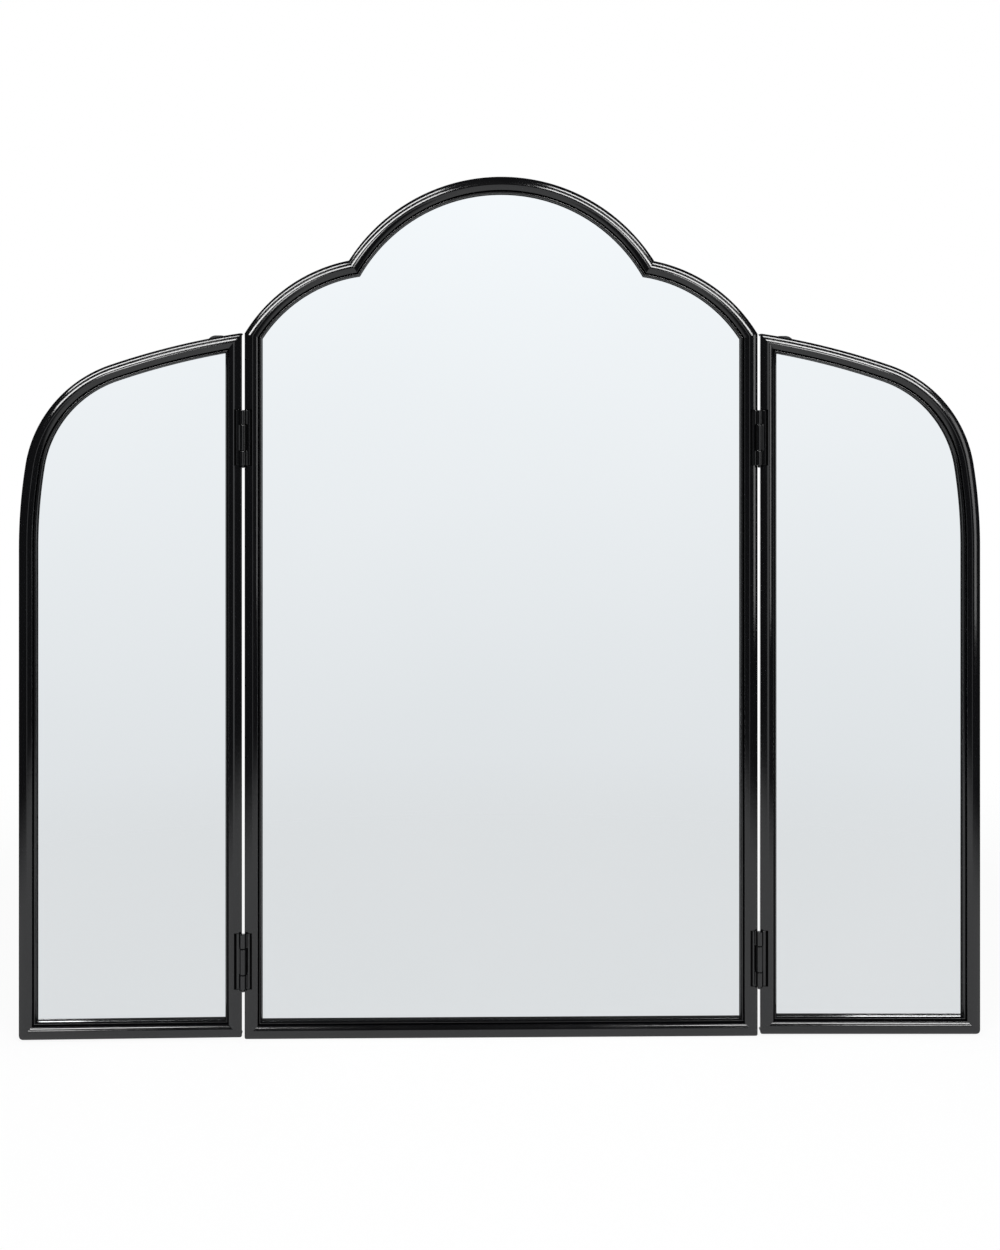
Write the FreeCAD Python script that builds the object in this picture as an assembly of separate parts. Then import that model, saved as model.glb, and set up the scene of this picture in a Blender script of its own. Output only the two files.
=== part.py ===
import FreeCAD, Part
import math
import os
from FreeCAD import Vector

os.makedirs("parts", exist_ok=True)

# A table mirror of three framed panes: a tall centre panel with an arched top, and a narrower wing hinged to
# each of its sides. Millimetres, +Z up, the panes face -Y, and the centre rail's underside is at Z 0.

# Centre panel outline, the arch and shoulders placed from the panel's sides and top
PANEL_HALF_W = 193.8
PANEL_H = 650.0
ARCH_SIDE = 57.3
SHOULDER_R = 118.6
SHOULDER_SIDE = 101.6
SHOULDER_DROP = 179.8

# Wing outline, from the straight outer side over three tangent arcs to the hinge side
GAP = 1.8
WING_W = 166.6
WING_LIFT = 1.4
WING_DROP = 279.9
SIDE_R = 400.0
SIDE_TURN = 9.0
CORNER_R = 95.0
CORNER_TURN = 62.0
TOP_R = 560.0
FOOT_R = 2.8
PEAK_TRIM = 0.3
REST_FOLD = 1.2

# Frame moulding, with u from the outer edge towards the glass and v from the crest towards the back: a broad band
# sloping outwards, a round bead leaning inwards, a fine quirk, and a sloping lip over the glass
MOULD_W = 12.7
MOULD_D = 16.0
CREST_U = 6.4
BAND_U = 0.7
BAND_V = 1.6
EDGE_V = 2.6
BEAD_R = 6.0
BEAD_LEAN = 10.0
BEAD_U = 10.2
QUIRK_U = 10.3
QUIRK_V = 3.8
LIP_U = 11.0
LIP_V = 3.0
LIP_EDGE_V = 4.2
SEAT_V = 8.5
REBATE_U = 9.0
WALL = 1.5
FRONT_WALL = 4.0

# Pane, padding and back board, stacked in the rebate
GLASS_T = 3.0
FOAM_T = 1.0
BOARD_T = 2.5
GLASS_PLAY = 0.5
FOAM_PLAY = 2.0

# Bent tabs that hold the board
TAB_T = 1.0
TAB_W = 12.0
TAB_ROOT_U = 2.0
TAB_TOE_U = 18.0
TAB_PLAY = 0.3
TAB_END_CUT = 2.5
TAB_RAIL_X = (-110.0, 0.0, 110.0)
TAB_STILE_Z = (120.0, 300.0)
TAB_STILE_DROP = 190.0
TAB_ARCH_DEG = (50.0, 90.0, 130.0)
WING_TAB_X = 84.0
WING_TAB_Z = 140.0
WING_TAB_DROP = 38.0
TALL_TAB_X = 19.0
TALL_TAB_RISE = 1.9
TALL_TAB_W = 18.0
TALL_TAB_END_R = 7.0
TALL_TAB_PLAY = 2.4

# Hinges
HINGE_L = 41.5
LOWER_HINGE_Z = 59.0
UPPER_HINGE_DROP = 197.0
AXIS_AHEAD = 0.5
BARREL_R = 2.5
KNUCKLE_L = 10.7
KNUCKLE_PLAY = 0.4
LEAF_T = 1.2
LEAF_BACK = 2.6
LEAF_IN = 2.9
LEAF_OUT = 5.3
MORTISE_OUT = 6.3
MORTISE_PLAY = 0.4
PIN_R = 1.3
PIN_PLAY = 0.05
PIN_TAIL = 2.0

# Places worked out from the dimensions above
Y_CREST = -MOULD_D / 2
ARCH_R = PANEL_HALF_W - ARCH_SIDE
ARCH_C = (0.0, PANEL_H - ARCH_R)
SHOULDER_C = (PANEL_HALF_W - SHOULDER_SIDE, PANEL_H - SHOULDER_DROP)
WING_STRAIGHT_Z = PANEL_H - WING_DROP
HINGE_LOW = {"lower": LOWER_HINGE_Z - HINGE_L / 2, "upper": PANEL_H - UPPER_HINGE_DROP - HINGE_L / 2}
WING_IN_X = PANEL_HALF_W + GAP
WING_OUT_X = WING_IN_X + WING_W
AXIS_X = PANEL_HALF_W + GAP / 2
AXIS_Y = Y_CREST - AXIS_AHEAD
GLASS_V = SEAT_V
FOAM_V = GLASS_V + GLASS_T
BOARD_V = FOAM_V + FOAM_T
BOARD_BACK_V = BOARD_V + BOARD_T
REACH = 60.0
OVERRUN_DEG = 3.0


def at(x, z, v=0.0):
    """The point at x, z that lies v behind the crest of the frames."""
    return Vector(x, Y_CREST + v, z)


def on_circle(centre, radius, degrees):
    """A point x, z on a circle, its angle counted from +X towards +Z."""
    turn = math.radians(degrees)
    return centre[0] + radius * math.cos(turn), centre[1] + radius * math.sin(turn)


def angle_at(centre, point):
    return math.degrees(math.atan2(point[1] - centre[1], point[0] - centre[0]))


def circles_meet(first, first_r, second, second_r):
    """The crossing of two circles that lies on the right of the way from the first centre to the second."""
    dx, dz = second[0] - first[0], second[1] - first[1]
    apart = math.hypot(dx, dz)
    along = (apart ** 2 + first_r ** 2 - second_r ** 2) / (2 * apart)
    aside = math.sqrt(first_r ** 2 - along ** 2)
    return first[0] + (along * dx + aside * dz) / apart, first[1] + (along * dz - aside * dx) / apart


def height_on(centre, radius, x):
    """The height of a circle's upper half at x."""
    return centre[1] + math.sqrt(radius ** 2 - (x - centre[0]) ** 2)


def trace(place, steps):
    """A closed face whose outline runs through the steps: one point for a line, two for an arc."""
    edges = []
    here = steps[0][-1]
    for step in steps[1:] + steps[:1]:
        points = [place(*point) for point in (here,) + step]
        if len(points) == 3:
            edges.append(Part.Arc(*points).toShape())
        else:
            edges.append(Part.makeLine(*points))
        here = step[-1]
    return Part.Face(Part.Wire(edges))


def moulding(place, sweep):
    """A length of frame: the moulded section, swept, less the box chamber inside it."""
    def bead(u):
        """A point of the bead, which leaves the crest leaning towards the glass."""
        lean = math.radians(BEAD_LEAN)
        aside = u - CREST_U + BEAD_R * math.sin(lean)
        return u, BEAD_R * math.cos(lean) - math.sqrt(BEAD_R ** 2 - aside ** 2)

    section = trace(place, [
        ((0.0, MOULD_D),),
        ((0.0, EDGE_V),),
        ((BAND_U, BAND_V),),
        ((CREST_U, 0.0),),
        (bead((CREST_U + BEAD_U) / 2), bead(BEAD_U)),
        ((QUIRK_U, QUIRK_V),),
        ((LIP_U, LIP_V),),
        ((MOULD_W, LIP_EDGE_V),),
        ((MOULD_W, SEAT_V),),
        ((REBATE_U, SEAT_V),),
        ((REBATE_U, MOULD_D),),
    ])
    chamber = trace(place, [
        ((WALL, FRONT_WALL),),
        ((REBATE_U - WALL, FRONT_WALL),),
        ((REBATE_U - WALL, MOULD_D - WALL),),
        ((WALL, MOULD_D - WALL),),
    ])
    return sweep(section).cut(sweep(chamber))


def rail(x0, x1, z):
    """A level moulding with its outer edge down at z."""
    return moulding(lambda u, v: at(x0, z + u, v), lambda face: face.extrude(Vector(x1 - x0, 0, 0)))


def stile(x, inward, z0, z1):
    """An upright moulding with its outer edge at x and the glass on inward's side, 1 or -1."""
    return moulding(lambda u, v: at(x + inward * u, z0, v), lambda face: face.extrude(Vector(0, 0, z1 - z0)))


def bend(centre, radius, start, end):
    """A moulding bent about a centre, its outer edge on the radius, from one angle to another."""
    def place(u, v):
        return at(*on_circle(centre, radius - u, start), v)

    return moulding(place, lambda face: face.revolve(at(*centre), Vector(0, -1, 0), end - start))


def mitre(member, outer, inner, waste):
    """The member without what lies beyond the plane through an outer and an inner corner, on waste's side."""
    corner = Vector(outer[0], 0, outer[1])
    along = (Vector(inner[0], 0, inner[1]) - corner).normalize()
    across = Vector(-along.z, 0, along.x)
    if across.dot(Vector(waste[0], 0, waste[1]) - corner) < 0:
        across = -across
    first = corner - along * REACH
    last = corner + along * REACH
    corners = [first, last, last + across * REACH, first + across * REACH, first]
    block = Part.Face(Part.makePolygon(corners)).extrude(Vector(0, 2 * MOULD_D, 0))
    block.translate(Vector(0, -MOULD_D, 0))
    return member.cut(block)


def mirrored(shape):
    return shape.mirror(Vector(0, 0, 0), Vector(1, 0, 0))


def sided(shape, side):
    """A shape drawn for the right-hand side, on the side asked for."""
    return shape if side == "right" else mirrored(shape)


def save(name, shape):
    shape.exportStep("parts/" + name + ".step")


# Centre panel outline: its corners at a given distance inside the outer edge

def shoulder_foot(inset):
    """Where the right stile meets the shoulder."""
    x = PANEL_HALF_W - inset
    return x, height_on(SHOULDER_C, SHOULDER_R - inset, x)


def valley(inset):
    """Where the right shoulder meets the arch."""
    return circles_meet(SHOULDER_C, SHOULDER_R - inset, ARCH_C, ARCH_R - inset)


def centre_sheet(inset, v, thickness):
    """A sheet with the centre panel's outline, drawn in by the inset, its front at v."""
    x, foot_z = shoulder_foot(inset)
    top_x, top_z = valley(inset)
    lean = (angle_at(SHOULDER_C, shoulder_foot(inset)) + angle_at(SHOULDER_C, valley(inset))) / 2
    mid_x, mid_z = on_circle(SHOULDER_C, SHOULDER_R - inset, lean)
    face = trace(lambda px, pz: at(px, pz, v), [
        ((-x, inset),),
        ((x, inset),),
        ((x, foot_z),),
        ((mid_x, mid_z), (top_x, top_z)),
        ((0.0, PANEL_H - inset), (-top_x, top_z)),
        ((-mid_x, mid_z), (-x, foot_z)),
    ])
    return face.extrude(Vector(0, thickness, 0))


# Wing outline: the three arcs of the outer member, as centre, radius, start and end angle

def wing_arcs():
    side_c = (WING_OUT_X - SIDE_R, WING_STRAIGHT_Z)
    side_end = on_circle(side_c, SIDE_R, SIDE_TURN)
    corner_c = on_circle(side_end, -CORNER_R, SIDE_TURN)
    corner_turn = SIDE_TURN + CORNER_TURN
    corner_end = on_circle(corner_c, CORNER_R, corner_turn)
    top_c = on_circle(corner_end, -TOP_R, corner_turn)
    top_turn = angle_at(top_c, (WING_IN_X, height_on(top_c, TOP_R, WING_IN_X))) + OVERRUN_DEG
    return ((side_c, SIDE_R, 0.0, SIDE_TURN), (corner_c, CORNER_R, SIDE_TURN, corner_turn),
            (top_c, TOP_R, corner_turn, top_turn))


def wing_peak(inset):
    """Where the outer member meets the hinge stile."""
    top_c, top_r = wing_arcs()[2][:2]
    x = WING_IN_X + inset
    return x, height_on(top_c, top_r - inset, x)


def wing_sheet(inset, v, thickness):
    """A sheet with the right wing's outline, drawn in by the inset, its front at v."""
    low = WING_LIFT + inset
    outer_x = WING_OUT_X - inset
    steps = [((WING_IN_X + inset, low),), ((outer_x, low),), ((outer_x, WING_STRAIGHT_Z),)]
    for centre, radius, start, end in wing_arcs():
        last = on_circle(centre, radius - inset, end)
        if radius == TOP_R:
            last = wing_peak(inset)
        middle = on_circle(centre, radius - inset, (start + angle_at(centre, last)) / 2)
        steps.append((middle, last))
    face = trace(lambda px, pz: at(px, pz, v), steps)
    return face.extrude(Vector(0, thickness, 0))


# Hinges: drawn on the right-hand side, the leaf towards the centre panel or, with outward 1, towards the wing

def barrel(z, length, bore_r):
    axis = Vector(AXIS_X, AXIS_Y, z)
    return Part.makeCylinder(BARREL_R, length, axis).cut(Part.makeCylinder(bore_r, length, axis))


def hinge_strip(outward, near, far, front, back, z, length):
    """A block beside the hinge axis, from near to far of it and from front to back of it."""
    start = min(outward * near, outward * far)
    return Part.makeBox(far - near, back - front, length, Vector(AXIS_X + start, AXIS_Y + front, z))


def hinge_leaf(outward, z, knuckles, bore_r):
    """A leaf with its knuckles, each given as a height above z and a length."""
    front = LEAF_BACK - LEAF_T
    leaf = hinge_strip(outward, LEAF_IN, LEAF_OUT, front, LEAF_BACK, z, HINGE_L)
    for rise, length in knuckles:
        bridge = hinge_strip(outward, 0.0, LEAF_IN, front, LEAF_BACK, z + rise, length)
        bore = Part.makeCylinder(bore_r, length, Vector(AXIS_X, AXIS_Y, z + rise))
        leaf = leaf.fuse([bridge.cut(bore), barrel(z + rise, length, bore_r)])
    return leaf.removeSplitter()


def hinge_pin(z):
    """The pin, flush with the top knuckle, its tail standing out below."""
    return Part.makeCylinder(PIN_R, HINGE_L + PIN_TAIL, Vector(AXIS_X, AXIS_Y, z - PIN_TAIL))


def mortises(outward):
    """The notches that a stile's front edge has for its two hinges."""
    length = HINGE_L + 2 * MORTISE_PLAY
    lows = [z - MORTISE_PLAY for z in HINGE_LOW.values()]
    return [hinge_strip(outward, 0.0, MORTISE_OUT, -BARREL_R, LEAF_BACK, z, length) for z in lows]


# Tabs on the back of the frames

def tab_strip(width, root_u, play):
    """A cranked strip from the frame's back, at X 0, to the board, and the two corner edges at its root."""
    toe_v = BOARD_BACK_V
    bend_u = REBATE_U + play
    steps = [
        ((root_u, MOULD_D),),
        ((root_u, MOULD_D + TAB_T),),
        ((bend_u + TAB_T, MOULD_D + TAB_T),),
        ((bend_u + TAB_T, toe_v + TAB_T),),
        ((TAB_TOE_U, toe_v + TAB_T),),
        ((TAB_TOE_U, toe_v),),
        ((bend_u, toe_v),),
        ((bend_u, MOULD_D),),
    ]
    strip = trace(lambda u, v: Vector(u, Y_CREST + v, -width / 2), steps).extrude(Vector(0, 0, width))
    root = [e for e in strip.Edges if e.BoundBox.XMax < root_u + TAB_T / 2]
    return strip, [e for e in root if e.BoundBox.YLength > TAB_T / 2 and e.BoundBox.ZLength < TAB_T / 2]


def seated(strip, edge, inward_deg):
    """The strip on the frame's back at an edge point, its toe towards inward_deg."""
    strip.rotate(Vector(0, 0, 0), Vector(0, -1, 0), inward_deg)
    strip.translate(Vector(edge[0], 0, edge[1]))
    return strip


def tab(edge, inward_deg):
    strip, corners = tab_strip(TAB_W, TAB_ROOT_U, TAB_PLAY)
    return seated(strip.makeChamfer(TAB_END_CUT, corners), edge, inward_deg)


def tall_tab():
    """The wider tab at the top of a wing, its round end standing above the frame."""
    strip, corners = tab_strip(TALL_TAB_W, -TALL_TAB_RISE, TALL_TAB_PLAY)
    top_c, top_r = wing_arcs()[2][:2]
    x = WING_IN_X + TALL_TAB_X
    return seated(strip.makeFillet(TALL_TAB_END_R, corners), (x, height_on(top_c, top_r, x)), 270)


def centre_tabs():
    tabs = [tab((x, 0.0), 90) for x in TAB_RAIL_X]
    for z in TAB_STILE_Z + (PANEL_H - TAB_STILE_DROP,):
        tabs += [tab((PANEL_HALF_W, z), 180), tab((-PANEL_HALF_W, z), 0)]
    tabs += [tab(on_circle(ARCH_C, ARCH_R, turn), turn + 180) for turn in TAB_ARCH_DEG]
    return Part.makeCompound(tabs)


def wing_tabs():
    tabs = [tab((WING_IN_X + WING_TAB_X, WING_LIFT), 90), tall_tab()]
    for z in (WING_TAB_Z, WING_STRAIGHT_Z - WING_TAB_DROP):
        tabs += [tab((WING_IN_X, z), 0), tab((WING_OUT_X, z), 180)]
    return Part.makeCompound(tabs)


# Centre frame

def centre_stile():
    member = stile(PANEL_HALF_W, -1, 0.0, shoulder_foot(0.0)[1])
    member = mitre(member, (PANEL_HALF_W, 0.0), (PANEL_HALF_W - MOULD_W, MOULD_W), (0.0, 0.0))
    member = mitre(member, shoulder_foot(0.0), shoulder_foot(MOULD_W), ARCH_C)
    return member.cut(mortises(-1))


def centre_rail():
    member = rail(-PANEL_HALF_W, PANEL_HALF_W, 0.0)
    for side in (1, -1):
        outer = (side * PANEL_HALF_W, 0.0)
        inner = (side * (PANEL_HALF_W - MOULD_W), MOULD_W)
        member = mitre(member, outer, inner, (side * PANEL_HALF_W, MOULD_W))
    return member


def centre_shoulder():
    start = angle_at(SHOULDER_C, shoulder_foot(0.0)) - OVERRUN_DEG
    end = angle_at(SHOULDER_C, valley(MOULD_W)) + OVERRUN_DEG
    member = bend(SHOULDER_C, SHOULDER_R, start, end)
    member = mitre(member, shoulder_foot(0.0), shoulder_foot(MOULD_W), (PANEL_HALF_W, 0.0))
    return mitre(member, valley(0.0), valley(MOULD_W), (0.0, PANEL_H))


def centre_arch():
    start = angle_at(ARCH_C, valley(MOULD_W)) - OVERRUN_DEG
    member = bend(ARCH_C, ARCH_R, start, 180 - start)
    for side in (1, -1):
        outer, inner = valley(0.0), valley(MOULD_W)
        member = mitre(member, (side * outer[0], outer[1]), (side * inner[0], inner[1]),
                       (side * PANEL_HALF_W, shoulder_foot(0.0)[1]))
    return member


# Wing frame, drawn flat with the centre panel on the right-hand side

def foot_round():
    """What the rounded outer bottom corner of a wing takes away."""
    low = Vector(WING_OUT_X - FOOT_R, -MOULD_D, WING_LIFT)
    block = Part.makeBox(FOOT_R, 2 * MOULD_D, FOOT_R, low)
    return block.cut(Part.makeCylinder(FOOT_R, 2 * MOULD_D, low + Vector(0, 0, FOOT_R), Vector(0, 1, 0)))


def peak_trim():
    """What is ground off the sharp tip where the outer member meets the hinge stile."""
    x, z = wing_peak(0.0)
    return Part.makeBox(2 * MOULD_W, 2 * MOULD_D, MOULD_W, Vector(x - MOULD_W, -MOULD_D, z - PEAK_TRIM))


def wing_bow():
    member = stile(WING_OUT_X, -1, WING_LIFT, WING_STRAIGHT_Z)
    for centre, radius, start, end in wing_arcs():
        member = member.fuse(bend(centre, radius, start, end))
    outer = (WING_OUT_X, WING_LIFT)
    inner = (WING_OUT_X - MOULD_W, WING_LIFT + MOULD_W)
    member = mitre(member, outer, inner, (WING_IN_X, WING_LIFT))
    member = mitre(member, wing_peak(0.0), wing_peak(MOULD_W), (WING_IN_X, WING_LIFT))
    return member.cut([foot_round(), peak_trim()]).removeSplitter()


def wing_stile():
    member = stile(WING_IN_X, 1, WING_LIFT, wing_peak(0.0)[1])
    outer = (WING_IN_X, WING_LIFT)
    inner = (WING_IN_X + MOULD_W, WING_LIFT + MOULD_W)
    member = mitre(member, outer, inner, (WING_OUT_X, WING_LIFT))
    member = mitre(member, wing_peak(0.0), wing_peak(MOULD_W), (WING_OUT_X, PANEL_H))
    return member.cut(mortises(1) + [peak_trim()])


def wing_rail():
    member = rail(WING_IN_X, WING_OUT_X, WING_LIFT)
    for x, inward in ((WING_IN_X, 1), (WING_OUT_X, -1)):
        outer = (x, WING_LIFT)
        inner = (x + inward * MOULD_W, WING_LIFT + MOULD_W)
        member = mitre(member, outer, inner, (x, WING_LIFT + MOULD_W))
    return member.cut(foot_round())


def folded(shape):
    """A right-wing shape, folded forward from flat to where it rests."""
    turned = shape.copy()
    turned.rotate(Vector(AXIS_X, AXIS_Y, 0), Vector(0, 0, -1), REST_FOLD)
    return turned


save("centre_bottom_rail", centre_rail())
save("centre_shoulders", Part.makeCompound([centre_shoulder(), mirrored(centre_shoulder())]))
save("centre_top_arch", centre_arch())
save("centre_glass", centre_sheet(REBATE_U + GLASS_PLAY, GLASS_V, GLASS_T))
save("centre_foam", centre_sheet(REBATE_U + FOAM_PLAY, FOAM_V, FOAM_T))
save("centre_back_board", centre_sheet(REBATE_U + GLASS_PLAY, BOARD_V, BOARD_T))
save("centre_back_tabs", centre_tabs())

middle_rise = KNUCKLE_L + KNUCKLE_PLAY
end_knuckles = ((0.0, KNUCKLE_L), (HINGE_L - KNUCKLE_L, KNUCKLE_L))
middle_knuckle = ((middle_rise, HINGE_L - 2 * middle_rise),)

wing_pieces = {
    "bottom_rail": wing_rail(),
    "hinge_stile": wing_stile(),
    "outer_bow": wing_bow(),
    "glass": wing_sheet(REBATE_U + GLASS_PLAY, GLASS_V, GLASS_T),
    "foam": wing_sheet(REBATE_U + FOAM_PLAY, FOAM_V, FOAM_T),
    "back_board": wing_sheet(REBATE_U + GLASS_PLAY, BOARD_V, BOARD_T),
    "back_tabs": wing_tabs(),
}
for side in ("left", "right"):
    save("centre_" + side + "_stile", sided(centre_stile(), side))
    for name, shape in wing_pieces.items():
        save(side + "_wing_" + name, sided(folded(shape), side))
    for level, low in HINGE_LOW.items():
        hinge = side + "_" + level + "_hinge_"
        save(hinge + "centre_leaf", sided(hinge_leaf(-1, low, end_knuckles, PIN_R), side))
        save(hinge + "wing_leaf", sided(folded(hinge_leaf(1, low, middle_knuckle, PIN_R + PIN_PLAY)), side))
        save(hinge + "pin", sided(hinge_pin(low), side))
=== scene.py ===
import math

import bmesh
import bpy
from mathutils import Matrix, Vector


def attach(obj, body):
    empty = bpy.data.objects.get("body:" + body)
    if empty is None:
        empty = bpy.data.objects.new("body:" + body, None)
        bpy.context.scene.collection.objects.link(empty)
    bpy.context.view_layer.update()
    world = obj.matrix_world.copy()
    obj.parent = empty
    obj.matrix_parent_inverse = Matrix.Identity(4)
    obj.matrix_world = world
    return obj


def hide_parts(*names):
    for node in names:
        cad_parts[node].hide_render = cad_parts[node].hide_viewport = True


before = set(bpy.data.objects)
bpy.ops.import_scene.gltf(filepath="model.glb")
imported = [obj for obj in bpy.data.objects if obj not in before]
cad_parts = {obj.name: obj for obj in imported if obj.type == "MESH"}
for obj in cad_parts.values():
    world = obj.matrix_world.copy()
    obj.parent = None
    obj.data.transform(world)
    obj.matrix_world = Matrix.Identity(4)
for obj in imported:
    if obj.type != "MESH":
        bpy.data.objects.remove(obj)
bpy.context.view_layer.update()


# Centre bottom rail: the hollow steel moulding that the panel stands on, rolled with a sloping band, a round
# bead and a lip over the glass. It is mitred at both ends, welded to the stiles and powder coated black.
# Lengths are in millimetres, except where a section says metres.
panel_half_w = 193.8
mould_w = 12.7
mould_d = 16.0
rebate_u = 9.0
glass_v = 8.5
lip_back = 6.6
crest_y = -mould_d / 2
corner_r = 2.0
corner_cuts = 4
everywhere = 1000.0
saw_snap = 1e-7
weld_gap = 1e-6
frame_crease = 33


def place(x, z, behind_crest=0.0):
    """A point in the frame's plane, given in millimetres, in Blender's metres."""
    return Vector((x, crest_y + behind_crest, z)) / 1000


def moulding_section(bm, spot, taper=0.0):
    """The moulding's section as one face. spot takes mm in from the outer edge and mm back from the crest."""
    corners = {"back": (taper, mould_d), "edge": (0.0, 1.93), "band": (3.47, 0.31), "crest": (6.4, 0.0),
               "bead": (7.9, 0.34), "bead_fall": (9.95, 1.45), "bead_end": (10.1, 2.4), "quirk": (10.6, 4.2),
               "lip": (11.2, 3.0), "lip_crest": (11.6, 2.95), "lip_edge": (mould_w, 4.2),
               "lip_back": (mould_w, lip_back), "seat_front": (mould_w, glass_v), "seat": (rebate_u, glass_v),
               "rebate_back": (rebate_u, mould_d)}
    verts = {name: bm.verts.new(spot(*corner)) for name, corner in corners.items()}
    bm.faces.new(verts.values())
    rounds = (("edge", 0.7, 6), ("band", 2.5, 14), ("crest", 0.15, 3), ("bead", 1.4, 10),
              ("bead_fall", 0.3, 5), ("lip", 0.1, 2), ("lip_crest", 0.1, 3), ("lip_edge", 0.5, 4))
    for name, reach, steps in rounds:
        bmesh.ops.bevel(bm, geom=[verts[name]], offset=reach / 1000, offset_type="OFFSET", segments=steps,
                        profile=0.5, affect="VERTICES", material=-1)
    return bm.faces[:]


def run_straight(bm, section, dx, dz):
    """Carry the section's faces straight on by dx, dz millimetres, and give the faces at the new end."""
    made = bmesh.ops.extrude_face_region(bm, geom=section)["geom"]
    moved = [item for item in made if isinstance(item, bmesh.types.BMVert)]
    bmesh.ops.translate(bm, verts=moved, vec=(dx / 1000, 0, dz / 1000))
    return [item for item in made if isinstance(item, bmesh.types.BMFace)]


def all_of(faces):
    """The faces with their edges and corners, as the saw takes them."""
    edges = {edge for face in faces for edge in face.edges}
    verts = {vert for face in faces for vert in face.verts}
    return [*verts, *edges, *faces]


def cut(bm, x, z, away_x, away_z, reach=everywhere):
    """Saw through at x, z, drop what lies towards away_x, away_z within reach, and close the end."""
    spot = place(x, z)
    near = [face for face in bm.faces if (face.calc_center_median() - spot).length * 1000 < reach]
    bmesh.ops.bisect_plane(bm, geom=all_of(near), dist=saw_snap, plane_co=spot, plane_no=(away_x, 0, away_z),
                           clear_outer=True)
    bmesh.ops.holes_fill(bm, edges=[edge for edge in bm.edges if edge.is_boundary])


def mitre(bm, outer, inner, away, reach=everywhere):
    """Saw through an outer and an inner corner and drop the side that the point away is on."""
    across = Vector((outer[1] - inner[1], inner[0] - outer[0]))
    if across.dot(Vector(away) - Vector(outer)) < 0:
        across = -across
    cut(bm, outer[0], outer[1], across.x, across.y, reach)


def round_corner(bm, x, z, side, radius):
    """Grind a bottom corner of the panel round. side is 1 where the corner points to +X, or -1."""
    centre = Vector((x - side * radius, z + radius))
    for step in range(1, corner_cuts + 1):
        turn = math.radians(90 * step / (corner_cuts + 1))
        away = Vector((side * math.cos(turn), -math.sin(turn)))
        touch = centre + away * radius
        cut(bm, touch.x, touch.y, away.x, away.y)


def as_piece(name, meshes, body, slot, *nodes, crease=frame_crease):
    """Join bmeshes into one painted object, creased above an angle, and hand it to the frame."""
    joined = bmesh.new()
    for bm in meshes:
        bmesh.ops.remove_doubles(bm, verts=bm.verts, dist=weld_gap)
        bmesh.ops.recalc_face_normals(bm, faces=bm.faces)
        part = bpy.data.meshes.new("part")
        bm.to_mesh(part)
        bm.free()
        joined.from_mesh(part)
        bpy.data.meshes.remove(part)
    mesh = bpy.data.meshes.new(name)
    joined.to_mesh(mesh)
    joined.free()
    mesh.shade_smooth()
    mesh.set_sharp_from_angle(angle=math.radians(crease))
    mesh.materials.append(black_paint)
    mesh.materials.append(matt_rebate_and_shade_paint)
    piece = bpy.data.objects.new(name, mesh)
    bpy.context.scene.collection.objects.link(piece)
    flats = piece.modifiers.new("true_flats", "WEIGHTED_NORMAL")
    flats.keep_sharp = True
    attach(piece, body)
    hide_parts(*nodes)
    return piece


# Gloss black powder coat: a thick skin of melted resin, deep black under a clear reflection. It flows out
# with a faint orange peel, about 2.5 mm from dimple to dimple, that breaks the edges of the lamps it mirrors.
peel_grain, cloud_grain = 2.5, 60


def linear(hex_colour):
    """An sRGB hex colour as the linear colour that the shaders take."""
    parts = [int(hex_colour[i:i + 2], 16) / 255 for i in (1, 3, 5)]
    return tuple(c / 12.92 if c <= 0.04045 else ((c + 0.055) / 1.055) ** 2.4 for c in parts) + (1.0,)


def add_node(tree, kind, sockets, **settings):
    """Add a node, set its properties, and fill or link its sockets. A link is a node and its output."""
    node = tree.nodes.new(kind)
    for name, value in settings.items():
        setattr(node, name, value)
    for name, value in sockets.items():
        if isinstance(value, tuple) and isinstance(value[0], bpy.types.Node):
            tree.links.new(value[0].outputs[value[1]], node.inputs[name])
        else:
            node.inputs[name].default_value = value
    return node


def new_material(name):
    """An empty material, its node tree and its object coordinates."""
    material = bpy.data.materials.new(name)
    material.use_nodes = True
    tree = material.node_tree
    tree.nodes.clear()
    return material, tree, add_node(tree, "ShaderNodeTexCoord", {})


def noise(tree, coords, grain, **sockets):
    """A link to noise on the object's coordinates, its grain in millimetres."""
    scale = {"Vector": (coords, "Object"), "Scale": 1000 / grain}
    return add_node(tree, "ShaderNodeTexNoise", {**scale, **sockets}), "Fac"


def blend(tree, factor, first, second):
    """A link to a colour between two others."""
    return add_node(tree, "ShaderNodeMix", {"Factor": factor, 6: first, 7: second}, data_type="RGBA"), 2


def ramp(tree, value, start, stop, low=0.0, high=1.0, shape="LINEAR"):
    """A link to a value that goes from low to high as another goes from start to stop."""
    ends = {"From Min": start, "From Max": stop, "To Min": low, "To Max": high}
    return add_node(tree, "ShaderNodeMapRange", {"Value": value, **ends}, interpolation_type=shape), "Result"


def bump(tree, height, strength, deep=0.4):
    """A link to the normals of a relief up to deep millimetres deep."""
    sockets = {"Height": height, "Strength": strength, "Distance": deep / 1000}
    return add_node(tree, "ShaderNodeBump", sockets), "Normal"


def coat(tree, sockets):
    """Make the material's shader, with its sockets filled or linked, and its output."""
    shader = add_node(tree, "ShaderNodeBsdfPrincipled", sockets)
    add_node(tree, "ShaderNodeOutputMaterial", {"Surface": (shader, "BSDF")})


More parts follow.
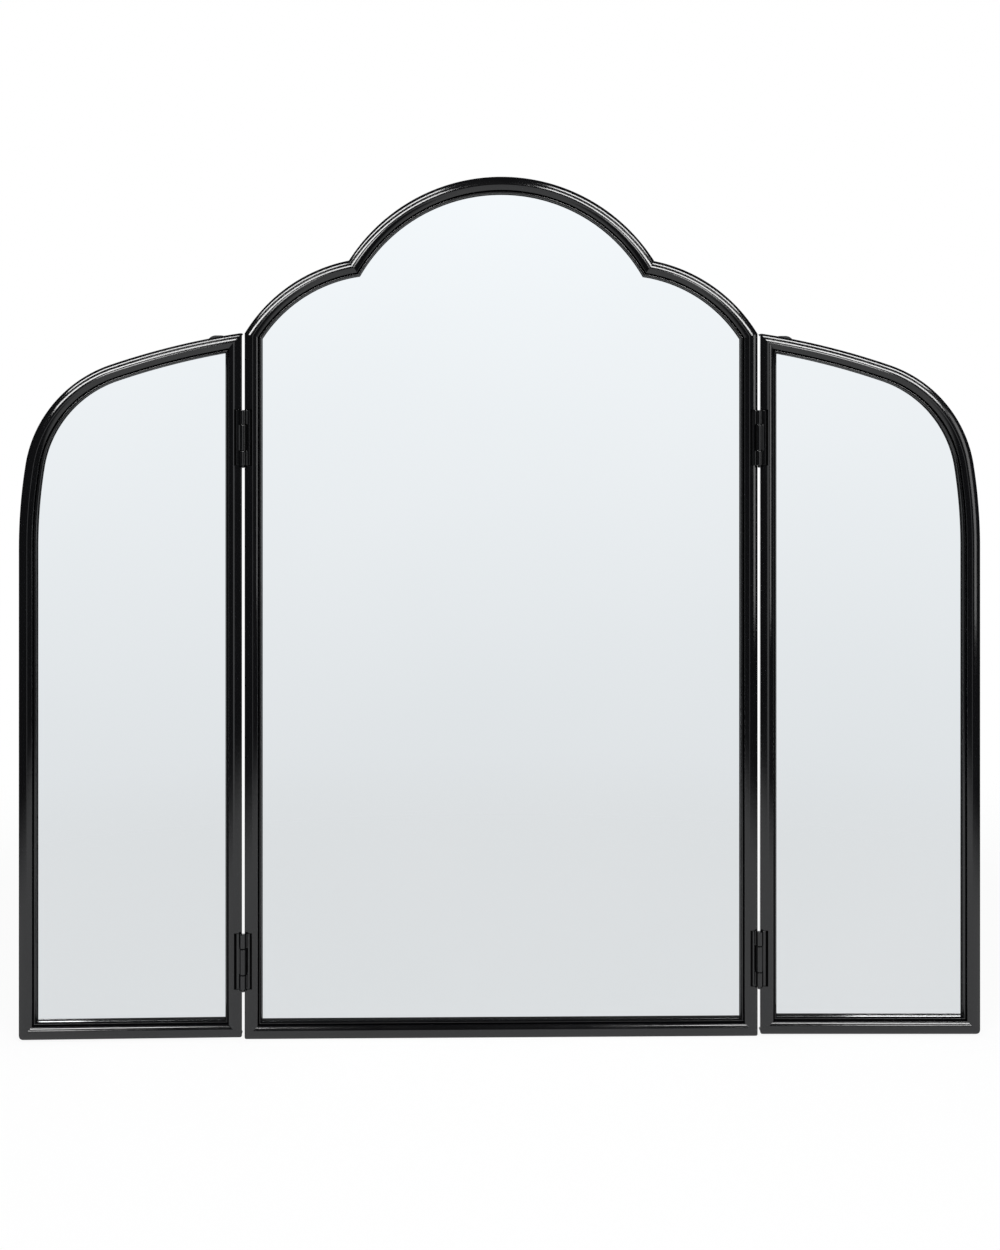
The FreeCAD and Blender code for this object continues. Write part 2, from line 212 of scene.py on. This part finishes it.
black_paint, tree, coords = new_material("gloss_black_powder_coat")
peel = noise(tree, coords, peel_grain, Detail=1.0)
cloud = noise(tree, coords, cloud_grain, Detail=3.0)
gloss = ramp(tree, cloud, start=0.3, stop=0.7, low=0.07, high=0.13)
depth = blend(tree, cloud, linear("#040405"), linear("#08080a"))
coat(tree, {"Base Color": depth, "Roughness": gloss, "IOR": 1.6, "Normal": bump(tree, peel, strength=0.03)})


# Matt black paint: the same resin, rough and low in shine, with a grain of about 0.8 mm. It covers the lip's
# inner edge, where it is painted shade at the glass's edge as well as the matt that rebates are often given.
# It is painted shade only on the outer corner's rounding, in the mortises and on the hinges' flanks, which it
# keeps dark.
matt_rebate_and_shade_paint, tree, coords = new_material("matt_black_rebate_and_painted_shade")
grain = noise(tree, coords, grain=0.8, Detail=3.0)
# Rough and with little shine, so that the faces it covers stay dark as painted shade.
matt_roughness = ramp(tree, grain, start=0.0, stop=1.0, low=0.75, high=0.95)
matt_shade_black = blend(tree, grain, linear("#040405"), linear("#0b0b0c"))
coat(tree, {"Base Color": matt_shade_black, "Roughness": matt_roughness, "IOR": 1.5, "Specular IOR Level": 0.1})
lip_tilt = 0.1
round_tilt_low, round_tilt_high = 0.15, 0.75


def paint_matt(piece, gets_matt_shade):
    """Give the matt paint, a piece's second material and its painted shade, to the faces that a test picks.
    """
    for face in piece.data.polygons:
        if gets_matt_shade(face):
            face.material_index = 1


def blacken_rebate(piece, x, z, from_back=0.0):
    """Paint matt the lip's inner edge, from a depth behind the crest on, and the outer edge's rounding:
    painted shade on both, where the lip also has the matt of a rebate. The middle of the pane is at x, z."""
    middle = place(x, z)

    def gets_matt_shade(face):
        """Whether a face looks in to the pane from the lip, or belongs to the outer rounding."""
        across = face.normal.dot(middle - face.center)
        tilt = abs(face.normal.y)
        on_lip = across > 0 and tilt < lip_tilt and face.center.y > (crest_y + from_back) / 1000
        return on_lip or (across < 0 and round_tilt_low < tilt < round_tilt_high)

    paint_matt(piece, gets_matt_shade)


centre_middle = (0.0, 300.0)
rail = bmesh.new()
run_straight(rail, moulding_section(rail, lambda u, v: place(-panel_half_w, u, v)), 2 * panel_half_w, 0.0)
for side in (1, -1):
    outer = (side * panel_half_w, 0.0)
    mitre(rail, outer, (side * (panel_half_w - mould_w), mould_w), (side * panel_half_w, mould_w))
    round_corner(rail, outer[0], outer[1], side, corner_r)
piece = as_piece("bottom_rail_of_centre", [rail], "centre_panel", "frame_paint", "centre_bottom_rail")
blacken_rebate(piece, *centre_middle, lip_back)


# Centre stiles: two uprights of the same moulding, mitred to the rail and to the shoulders above. Their outer
# sides taper to the back, to clear the wings. Two shallow mortises are milled into each outer front edge for
# the hinge leaves, with a deeper slot along their inner side.
panel_h = 650.0
shoulder_c = (92.2, 470.2)
shoulder_r = 118.6
hinge_l = 41.5
hinge_lows = {"lower": 38.25, "upper": 432.25}
side_taper = 1.4
mortise_play = 0.4
mortise_w = 5.8
mortise_deep = 2.1
slot_w = 1.2
slot_slope = 1.5
milled_front, milled_back = 1.2, 5.0
milled_slack = 0.1


def over_circle(centre, radius, x):
    """The height of a circle's upper half at x."""
    return centre[1] + math.sqrt(radius ** 2 - (x - centre[0]) ** 2)


def shoulder_foot(inset):
    """Where the right stile meets the shoulder, at a distance inside the outer edge."""
    return panel_half_w - inset, over_circle(shoulder_c, shoulder_r - inset, panel_half_w - inset)


def upright_section(x, inward, z):
    """The tapered section of an upright, lying at a height."""
    bm = bmesh.new()
    moulding_section(bm, lambda u, v: place(x + inward * u, z, v), side_taper)
    return bm


def mill(bm, x, inward):
    """Take the mortise and its slot out of an upright's section."""
    def into(face):
        """How far in from the outer edge a face's middle lies."""
        return inward * (face.calc_center_median().x * 1000 - x)

    bmesh.ops.bisect_plane(bm, geom=all_of(bm.faces[:]), plane_no=(1, 0, 0),
                           plane_co=place(x + inward * mortise_w, 0.0))
    bed = ((0, 1, 0), place(0.0, 0.0, mortise_deep))
    slot = ((inward * slot_slope, -1, 0), place(x + inward * (mortise_w - slot_w), 0.0, mortise_deep))
    for normal, spot in (bed, slot):
        rim = [face for face in bm.faces if into(face) < mortise_w]
        bmesh.ops.bisect_plane(bm, geom=all_of(rim), plane_no=normal, plane_co=spot)
    chips = []
    for face in bm.faces:
        back = face.calc_center_median().y * 1000 - crest_y
        slot_deep = max(0.0, slot_slope * (into(face) - mortise_w + slot_w))
        if into(face) < mortise_w and back < mortise_deep + slot_deep:
            chips.append(face)
    bmesh.ops.delete(bm, geom=chips, context="FACES")


def upright(x, inward, low, high):
    """The lengths of an upright: whole ones, and the mortised ones beside the hinges."""
    lengths = []
    start = low
    for hinge_low in hinge_lows.values():
        notch_low = hinge_low - mortise_play
        notch_high = hinge_low + hinge_l + mortise_play
        whole = upright_section(x, inward, start)
        run_straight(whole, whole.faces[:], 0.0, notch_low - start)
        milled = upright_section(x, inward, notch_low)
        mill(milled, x, inward)
        run_straight(milled, milled.faces[:], 0.0, notch_high - notch_low)
        lengths += [whole, milled]
        start = notch_high
    top = upright_section(x, inward, start)
    run_straight(top, top.faces[:], 0.0, high - start)
    return lengths + [top]


def blacken_mortises(piece, edge_x):
    """Paint matt the milled faces beside the hinges of an upright, as painted shade in these recesses. Its
    outer edge is at edge_x.
    """
    def gets_matt_shade(face):
        """Whether a face lies in a mortise or its slot."""
        x, y, z = face.center * 1000
        beside = any(low - mortise_play < z < low + hinge_l + mortise_play for low in hinge_lows.values())
        across = abs(abs(x) - edge_x)
        return beside and across < mortise_w + milled_slack and milled_front < y - crest_y < milled_back

    paint_matt(piece, gets_matt_shade)


def sided(meshes, side):
    """Leave right-hand pieces as they are, and mirror them for the left-hand side."""
    if side == "left":
        for bm in meshes:
            bmesh.ops.scale(bm, verts=bm.verts, vec=(-1, 1, 1))
    return meshes


for side in ("right", "left"):
    lengths = upright(panel_half_w, -1, 0.0, shoulder_foot(0.0)[1])
    mitre(lengths[0], (panel_half_w, 0.0), (panel_half_w - mould_w, mould_w), (0.0, 0.0))
    round_corner(lengths[0], panel_half_w, 0.0, 1, corner_r)
    mitre(lengths[-1], shoulder_foot(0.0), shoulder_foot(mould_w), (0.0, panel_h))
    piece = as_piece(side + "_stile_of_centre", sided(lengths, side), "centre_panel", "frame_paint",
                     "centre_" + side + "_stile")
    blacken_rebate(piece, *centre_middle)
    blacken_mortises(piece, panel_half_w)


# Shoulders: two short bends of the moulding that lead from the stiles in to the arch. Each is cut to a mitre
# at both ends, and the welds are ground flush before the paint.
arch_c = (0.0, 513.5)
arch_r = 136.5
shoulder_from, shoulder_turn, shoulder_steps = 26.0, 70.0, 56


def run_round(bm, section, centre, degrees, steps):
    """Carry the section's faces round a centre, from +X towards +Z, and give the faces at the new end."""
    made = bmesh.ops.spin(bm, geom=section, cent=place(*centre), axis=(0, -1, 0), angle=math.radians(degrees),
                          steps=steps, use_merge=False)["geom_last"]
    return [item for item in made if isinstance(item, bmesh.types.BMFace)]


def bent_section(bm, centre, radius, degrees):
    """The section standing on a bend's outer radius at an angle."""
    turn = math.radians(degrees)
    return moulding_section(bm, lambda u, v: place(centre[0] + (radius - u) * math.cos(turn),
                                                   centre[1] + (radius - u) * math.sin(turn), v))


def valley(inset):
    """Where the right shoulder meets the arch, at a distance inside the outer edge."""
    dx, dz = arch_c[0] - shoulder_c[0], arch_c[1] - shoulder_c[1]
    apart = math.hypot(dx, dz)
    first, second = shoulder_r - inset, arch_r - inset
    along = (apart ** 2 + first ** 2 - second ** 2) / (2 * apart)
    aside = math.sqrt(first ** 2 - along ** 2)
    x = shoulder_c[0] + (along * dx + aside * dz) / apart
    return x, shoulder_c[1] + (along * dz - aside * dx) / apart


shoulders = []
for side in ("right", "left"):
    bend = bmesh.new()
    section = bent_section(bend, shoulder_c, shoulder_r, shoulder_from)
    run_round(bend, section, shoulder_c, shoulder_turn, shoulder_steps)
    mitre(bend, shoulder_foot(0.0), shoulder_foot(mould_w), (panel_half_w, 0.0))
    mitre(bend, valley(0.0), valley(mould_w), (0.0, panel_h))
    shoulders += sided([bend], side)
piece = as_piece("shoulders_of_centre", shoulders, "centre_panel", "frame_paint", "centre_shoulders")
blacken_rebate(piece, *centre_middle)


# Top arch: one long bend of the moulding over the middle of the panel. Its mitred ends are welded to the
# shoulders in the two valleys and painted with them.
arch_from, arch_turn, arch_steps = 20.0, 140.0, 120
arch = bmesh.new()
run_round(arch, bent_section(arch, arch_c, arch_r, arch_from), arch_c, arch_turn, arch_steps)
for side in (1, -1):
    outer, inner = valley(0.0), valley(mould_w)
    mitre(arch, (side * outer[0], outer[1]), (side * inner[0], inner[1]),
          (side * panel_half_w, shoulder_foot(0.0)[1]))
piece = as_piece("arch_of_centre", [arch], "centre_panel", "frame_paint", "centre_top_arch")
blacken_rebate(piece, *centre_middle)


# Wing frames: each a bottom rail, an upright on the hinge side, and one bowed length that rises up the outer
# side and sweeps over the top, all of the same moulding. They hang a little above the table and rest folded
# slightly forward, which brings the middle of their rails rest_forward millimetres to the front.
wing_in_x = 195.6
wing_out_x = 362.2
wing_low = 1.4
wing_middle = (280.0, 230.0)
bow_straight_z = 370.1
foot_r = 3.9
fold_axis = (194.7, -8.5)
rest_fold = 1.2
rest_forward = ((wing_in_x + wing_out_x) / 2 - fold_axis[0]) * math.sin(math.radians(rest_fold))
side_r, side_turn, side_steps = 400.0, 9.0, 12
bow_r, bow_turn, bow_steps = 95.0, 62.0, 60
top_r, top_turn, top_steps = 560.0, 16.0, 20
peak_trim = 0.3
peak_reach = 60.0


def folded(meshes):
    """Turn right-wing pieces about the hinge axis from flat to where the wing rests."""
    for bm in meshes:
        bmesh.ops.rotate(bm, verts=bm.verts, cent=(fold_axis[0] / 1000, fold_axis[1] / 1000, 0),
                         matrix=Matrix.Rotation(math.radians(-rest_fold), 3, "Z"))
    return meshes


def towards(centre, radius, degrees):
    """The point at a distance from a centre, at an angle from +X towards +Z."""
    turn = math.radians(degrees)
    return centre[0] + radius * math.cos(turn), centre[1] + radius * math.sin(turn)


side_c = (wing_out_x - side_r, bow_straight_z)
bow_c = towards(towards(side_c, side_r, side_turn), -bow_r, side_turn)
top_c = towards(towards(bow_c, bow_r, side_turn + bow_turn), -top_r, side_turn + bow_turn)


def wing_peak(inset):
    """Where the bow meets the hinge stile, at a distance inside the outer edge."""
    return wing_in_x + inset, over_circle(top_c, top_r - inset, wing_in_x + inset)


tip_z = wing_peak(0.0)[1] - peak_trim
inner_foot = (wing_in_x + mould_w, wing_low + mould_w)
outer_foot = (wing_out_x - mould_w, wing_low + mould_w)
for side in ("right", "left"):
    wing_rail = bmesh.new()
    section = moulding_section(wing_rail, lambda u, v: place(wing_in_x, wing_low + u, v))
    run_straight(wing_rail, section, wing_out_x - wing_in_x, 0.0)
    for x, inner, way, radius in ((wing_in_x, inner_foot, -1, corner_r), (wing_out_x, outer_foot, 1, foot_r)):
        mitre(wing_rail, (x, wing_low), inner, (x, wing_low + mould_w))
        round_corner(wing_rail, x, wing_low, way, radius)

    hinge_stile = upright(wing_in_x, 1, wing_low, wing_peak(0.0)[1])
    mitre(hinge_stile[0], (wing_in_x, wing_low), inner_foot, (wing_out_x, wing_low))
    round_corner(hinge_stile[0], wing_in_x, wing_low, -1, corner_r)
    mitre(hinge_stile[-1], wing_peak(0.0), wing_peak(mould_w), (wing_out_x, panel_h))
    cut(hinge_stile[-1], wing_in_x, tip_z, 0, 1)

    bow = bmesh.new()
    end = moulding_section(bow, lambda u, v: place(wing_out_x - u, wing_low, v))
    end = run_straight(bow, end, 0.0, bow_straight_z - wing_low)
    end = run_round(bow, end, side_c, side_turn, side_steps)
    end = run_round(bow, end, bow_c, bow_turn, bow_steps)
    run_round(bow, end, top_c, top_turn, top_steps)
    mitre(bow, (wing_out_x, wing_low), outer_foot, (wing_in_x, wing_low))
    round_corner(bow, wing_out_x, wing_low, 1, foot_r)
    mitre(bow, wing_peak(0.0), wing_peak(mould_w), (wing_in_x, wing_low), peak_reach)
    cut(bow, wing_in_x, tip_z, 0, 1)

    body = side + "_wing"
    middle_x = -wing_middle[0] if side == "left" else wing_middle[0]
    for name, lengths in (("bottom_rail", [wing_rail]), ("hinge_stile", hinge_stile), ("outer_bow", [bow])):
        piece = as_piece(name + "_of_" + body, sided(folded(lengths), side), body, "frame_paint",
                         body + "_" + name)
        from_back = lip_back - rest_forward if name == "bottom_rail" else 0.0
        blacken_rebate(piece, middle_x, wing_middle[1], from_back)
        if name == "hinge_stile":
            blacken_mortises(piece, wing_in_x)


# Butt hinges: pressed steel leaves rolled into three knuckles round a steel pin, painted with the frame. The
# outer knuckles belong to the centre panel and the middle one to the wing, and the pin's tail shows below.
knuckle_r = 2.5
knuckle_bore_r = 1.4
knuckle_rim = 0.45
knuckle_l = 10.7
knuckle_play = 0.4
leaf_root, leaf_in, leaf_out = 1.6, 2.9, 5.0
leaf_front, leaf_back = 1.4, 2.6
leaf_lap = 0.4
leaf_soft = 0.2
leaf_lean = 12.0
pin_r = 1.3
pin_rim = 0.5
pin_tail = 2.0
turn_steps = 48
hinge_crease = 12
flank_tilt = 0.6


def tube(inner_r, outer_r, low, high, rim):
    """A tube or rod on the hinge axis with rolled rims, spun from half its section."""
    bm = bmesh.new()
    x, y = fold_axis
    corners = [(inner_r, low), (outer_r, low), (outer_r, high), (inner_r, high)]
    verts = [bm.verts.new(Vector((x + out, y, z)) / 1000) for out, z in corners]
    bm.faces.new(verts)
    bmesh.ops.bevel(bm, geom=verts[1:3], offset=rim / 1000, offset_type="OFFSET", segments=3, profile=0.5,
                    affect="VERTICES", material=-1)
    bmesh.ops.delete(bm, geom=bm.faces[:], context="FACES_ONLY")
    bmesh.ops.spin(bm, geom=bm.verts[:] + bm.edges[:], cent=Vector((x, y, 0)) / 1000, axis=(0, 0, 1),
                   angle=math.tau, steps=turn_steps, use_merge=True)
    return bm


def strip(outward, near, far, low, high, lean=0.0):
    """A flat strip beside the hinge axis with softened edges, its far side leaning forward by an angle."""
    bm = bmesh.new()
    bmesh.ops.create_cube(bm, size=1.0)
    bmesh.ops.scale(bm, verts=bm.verts, vec=Vector((far - near, leaf_back - leaf_front, high - low)) / 1000)
    bmesh.ops.rotate(bm, verts=bm.verts, matrix=Matrix.Rotation(math.radians(-outward * lean), 3, "Z"))
    x = fold_axis[0] + outward * (near + far) / 2
    y = fold_axis[1] + (leaf_front + leaf_back) / 2
    bmesh.ops.translate(bm, verts=bm.verts, vec=Vector((x, y, (low + high) / 2)) / 1000)
    bmesh.ops.bevel(bm, geom=bm.edges[:], offset=leaf_soft / 1000, offset_type="OFFSET", segments=3,
                    profile=0.5, affect="EDGES", material=-1)
    return bm


def leaf(outward, low, high, knuckles):
    """A leaf with its knuckles, each between two heights, and the strips that join them to it."""
    meshes = [strip(outward, leaf_in, leaf_out, low, high, leaf_lean)]
    for start, stop in knuckles:
        meshes.append(strip(outward, leaf_root, leaf_in + leaf_lap, start, stop))
        meshes.append(tube(knuckle_bore_r, knuckle_r, start, stop, knuckle_rim))
    return meshes


middle_rise = knuckle_l + knuckle_play
for side in ("right", "left"):
    for level, low in hinge_lows.items():
        high = low + hinge_l
        hinge = side + "_" + level + "_hinge"
        centre_leaf = leaf(-1, low, high, [(low, low + knuckle_l), (high - knuckle_l, high)])
        wing_leaf = folded(leaf(1, low, high, [(low + middle_rise, high - middle_rise)]))
        pin = [tube(0.0, pin_r, low - pin_tail, high, pin_rim)]
        for name, meshes, body in (("centre_leaf", centre_leaf, "centre_panel"),
                                   ("wing_leaf", wing_leaf, side + "_wing"), ("pin", pin, "centre_panel")):
            piece = as_piece(name + "_of_" + hinge, sided(meshes, side), body, "hinge_paint",
                             hinge + "_" + name, crease=hinge_crease)
            # The flanks that face sideways get the matt paint, as painted shade at the sides of the knuckles
            # and leaves.
            paint_matt(piece, lambda face: abs(face.normal.x) > flank_tilt)


# Panes: 3 mm float glass silvered on the back, laid in the rebate. The silver shows a clear, slightly cool
# picture, with the faint drift in brightness that float glass has over a hand's breadth.
mirror_glass, tree, coords = new_material("silvered_float_glass")
drift = noise(tree, coords, grain=180, Detail=1.0)
silver = blend(tree, drift, linear("#eef1f2"), linear("#f2f4f5"))
coat(tree, {"Base Color": silver, "Metallic": 1.0, "Roughness": 0.0})


def dress(material, *names):
    """Give a finish to solids that keep their own shape."""
    for name in names:
        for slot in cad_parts[name].material_slots:
            slot.material = material


dress(mirror_glass, "centre_glass", "left_wing_glass", "right_wing_glass")


# Padding sheets: 1 mm white polyethylene foam, laid loose between glass and board so that the glass doesn't
# rattle. Its bubbles are about 1.2 mm wide.
foam, tree, coords = new_material("white_polyethylene_foam")
bubble_w = 1.2
cells = add_node(tree, "ShaderNodeTexVoronoi", {"Vector": (coords, "Object"), "Scale": 1000 / bubble_w})
swell = bump(tree, (cells, "Distance"), strength=0.4)
tint = blend(tree, (cells, "Distance"), linear("#f0efec"), linear("#d9d8d4"))
coat(tree, {"Base Color": tint, "Roughness": 0.85, "Normal": swell})
dress(foam, "centre_foam", "left_wing_foam", "right_wing_foam")


# Back boards: 2.5 mm hardboard pressed from brown wood fibre and held by the tabs, its rough side out. The
# fibres are drawn as a grain of 1.6 mm and finer. The grid of the wire that it was pressed on is drawn about
# 19 mm apart, far coarser than the real one.
hardboard, tree, coords = new_material("brown_hardboard")
wire_pitch = 18.85
wave_radians = 20


def combine(tree, operation, first, second, **settings):
    """A link to what an operation makes of two values."""
    return add_node(tree, "ShaderNodeMath", {0: first, 1: second}, operation=operation, **settings), "Value"


fibre = noise(tree, coords, grain=1.6, Detail=6.0, Roughness=0.7, Distortion=1.5)
blotch = noise(tree, coords, grain=45, Detail=4.0)
wire_scale = {"Vector": (coords, "Object"), "Scale": math.tau * 1000 / (wave_radians * wire_pitch)}
upright_wires = add_node(tree, "ShaderNodeTexWave", wire_scale, bands_direction="X")
level_wires = add_node(tree, "ShaderNodeTexWave", wire_scale, bands_direction="Z")
weave = combine(tree, "MULTIPLY", (upright_wires, "Fac"), (level_wires, "Fac"))
relief = bump(tree, combine(tree, "ADD", weave, fibre), strength=0.5)
ground = blend(tree, blotch, linear("#6b4a30"), linear("#8a6444"))
speck = ramp(tree, fibre, start=0.35, stop=0.7, low=0.0, high=0.55)
brown = blend(tree, speck, ground, linear("#a98560"))
coat(tree, {"Base Color": brown, "Roughness": 0.75, "Normal": relief})
dress(hardboard, "centre_back_board", "left_wing_back_board", "right_wing_back_board")


# Tabs: strips of 1 mm sheet steel welded to the frame's back and bent over the board. They are painted with
# the frame, and the taller one at each wing's top just shows above it.
dress(black_paint, "centre_back_tabs", "left_wing_back_tabs", "right_wing_back_tabs")


# Floor: a white table top under soft light. The camera and the mirrors see it white, it keeps a soft shadow,
# and it fades out towards its rim. Lengths here are in metres.
table_w = 3.2
fade_from, fade_to = 0.65, 1.34
own_light = 0.9
mirrored_white, plain_white = (0.8, 0.81, 0.82, 1), (1, 1, 1, 1)
table, tree, coords = new_material("white_table_top")
rays = add_node(tree, "ShaderNodeLightPath", {})
seen = combine(tree, "ADD", (rays, "Is Camera Ray"), (rays, "Is Glossy Ray"))
seen = combine(tree, "ADD", seen, (rays, "Is Transmission Ray"))
share = combine(tree, "MULTIPLY", seen, own_light)
white = blend(tree, (rays, "Is Camera Ray"), mirrored_white, plain_white)
paper = blend(tree, noise(tree, coords, grain=4), linear("#f4f4f4"), linear("#f7f7f7"))
lit = add_node(tree, "ShaderNodeBsdfDiffuse", {"Color": paper})
shown = add_node(tree, "ShaderNodeEmission", {"Color": white, "Strength": 1.0})
surface = add_node(tree, "ShaderNodeMixShader", {"Fac": share, 1: (lit, "BSDF"), 2: (shown, "Emission")})
reach = add_node(tree, "ShaderNodeVectorMath", {0: (coords, "Object")}, operation="LENGTH")
fade = ramp(tree, (reach, "Value"), start=fade_from, stop=fade_to, shape="SMOOTHSTEP")
clear = add_node(tree, "ShaderNodeBsdfTransparent", {})
edge = add_node(tree, "ShaderNodeMixShader", {"Fac": fade, 1: (surface, "Shader"), 2: (clear, "BSDF")})
add_node(tree, "ShaderNodeOutputMaterial", {"Surface": (edge, "Shader")})
top = bmesh.new()
bmesh.ops.create_grid(top, x_segments=1, y_segments=1, size=table_w / 2)
floor_mesh = bpy.data.meshes.new("table_top")
top.to_mesh(floor_mesh)
top.free()
floor_mesh.materials.append(table)
floor = bpy.data.objects.new("table_top", floor_mesh)
bpy.context.scene.collection.objects.link(floor)


# Lamps: a wide softbox overhead, a tall one to the right for the line down each upright, and on each side two
# slanting strips for the lines along the curved tops and a small softbox for the bottom rails. Brightness is
# what the paint mirrors, in units of the white floor, and lengths are in metres.
aim = Vector((0, 0, 0.45))
far_away = 6.0


def softbox(name, azimuth, elevation, away, width, height, brightness, tilt=0.0):
    """A lamp seen from the object at an azimuth (right is positive) and an elevation, facing it."""
    lamp = bpy.data.lights.new(name, "AREA")
    lamp.shape = "RECTANGLE"
    lamp.size, lamp.size_y = width, height
    lamp.energy = brightness * math.pi * width * height
    turn, rise = math.radians(azimuth), math.radians(elevation)
    outward = Vector((math.sin(turn) * math.cos(rise), -math.cos(turn) * math.cos(rise), math.sin(rise)))
    roll = Matrix.Rotation(math.radians(tilt), 3, "Z").to_quaternion()
    stand = bpy.data.objects.new(name, lamp)
    stand.rotation_euler = (outward.to_track_quat("Z", "Y") @ roll).to_euler()
    stand.location = aim + outward * away
    bpy.context.scene.collection.objects.link(stand)


softbox("overhead_softbox", azimuth=0, elevation=108, away=2.2, width=2.4, height=1.6, brightness=0.9)
softbox("right_softbox", azimuth=50, elevation=3.3, away=1.56, width=0.24, height=0.72, brightness=2.2)
for name, side in (("left", -1), ("right", 1)):
    softbox(name + "_low_strip", azimuth=side * 22.6, elevation=23.9, away=far_away, width=2.95, height=0.52,
            brightness=18.0, tilt=-side * 29.6)
    softbox(name + "_high_strip", azimuth=side * 31.3, elevation=36.6, away=far_away, width=2.82, height=0.45,
            brightness=20.0, tilt=-side * 36)
    softbox(name + "_small_softbox", azimuth=side * 14.2, elevation=14.7, away=far_away, width=0.6,
            height=0.45, brightness=12.0)


# Studio: white behind the object, a pale card in front of it, and dim walls to the sides and above for the
# paint. The panes, which mirror sharply, see the card's pale grey all round, up to a height.
room_light = 0.35
world = bpy.data.worlds.new("studio")
bpy.context.scene.world = world
world.use_nodes = True
tree = world.node_tree
tree.nodes.clear()


def mix(tree, factor, first, second):
    """A link to a value between two others."""
    return add_node(tree, "ShaderNodeMix", {"Factor": factor, 2: first, 3: second}), "Result"


def ends_at(tree, value, start, stop):
    """A link to a mask that is 1 up to start and falls softly to 0 at stop."""
    return ramp(tree, value, start, stop, low=1.0, high=0.0, shape="SMOOTHSTEP")


sky = add_node(tree, "ShaderNodeTexCoord", {})
way = add_node(tree, "ShaderNodeSeparateXYZ", {"Vector": (sky, "Generated")})
rays = add_node(tree, "ShaderNodeLightPath", {})
card = ramp(tree, (way, "Z"), start=-0.276, stop=0.118, low=0.8, high=1.077)
walls = ramp(tree, (way, "Y"), start=0.1, stop=0.6, low=0.05, high=0.8, shape="SMOOTHSTEP")
sideways = add_node(tree, "ShaderNodeMath", {0: (way, "X")}, operation="ABSOLUTE")
card_width = ends_at(tree, (sideways, "Value"), start=0.22, stop=0.26)
card_height = ends_at(tree, (way, "Z"), start=0.138, stop=0.183)
pane_height = ends_at(tree, (way, "Z"), start=0.2, stop=0.25)
on_card = combine(tree, "MULTIPLY", card_width, card_height)
in_panes = combine(tree, "MULTIPLY", (rays, "Is Singular Ray"), pane_height)
pale = combine(tree, "MAXIMUM", on_card, in_panes)
glow = mix(tree, pale, walls, card)
mirrored = combine(tree, "ADD", (rays, "Is Glossy Ray"), (rays, "Is Transmission Ray"), use_clamp=True)
strength = mix(tree, mirrored, room_light, glow)
strength = mix(tree, (rays, "Is Camera Ray"), strength, 1.0)
tone = blend(tree, (rays, "Is Camera Ray"), linear("#fbfdff"), plain_white)
back = add_node(tree, "ShaderNodeBackground", {"Color": tone, "Strength": strength})
add_node(tree, "ShaderNodeOutputWorld", {"Surface": (back, "Background")})
bpy.context.scene.view_settings.view_transform = "Standard"


# Camera: level, at about two thirds of the mirror's height, with the lens shifted down to frame the mirror.
# It stands a degree to the left of straight in front, so that the left wing is a little nearer. Lengths are
# in metres.
frame_high = 0.9424
picture_middle = 0.3117
shift_across = -0.0015
camera_away = 1.5
camera_high = 0.46
camera_left = math.radians(1.2)
sensor_w = 36.0
lens = bpy.data.cameras.new("camera")
lens.sensor_width = sensor_w
lens.lens = sensor_w * camera_away / frame_high
lens.shift_x = shift_across
lens.shift_y = (picture_middle - camera_high) / frame_high
camera = bpy.data.objects.new("camera", lens)
camera.location = (-camera_away * math.sin(camera_left),
                   crest_y / 1000 - camera_away * math.cos(camera_left), camera_high)
camera.rotation_euler = (math.radians(90), 0, -camera_left)
bpy.context.scene.collection.objects.link(camera)
bpy.context.scene.camera = camera
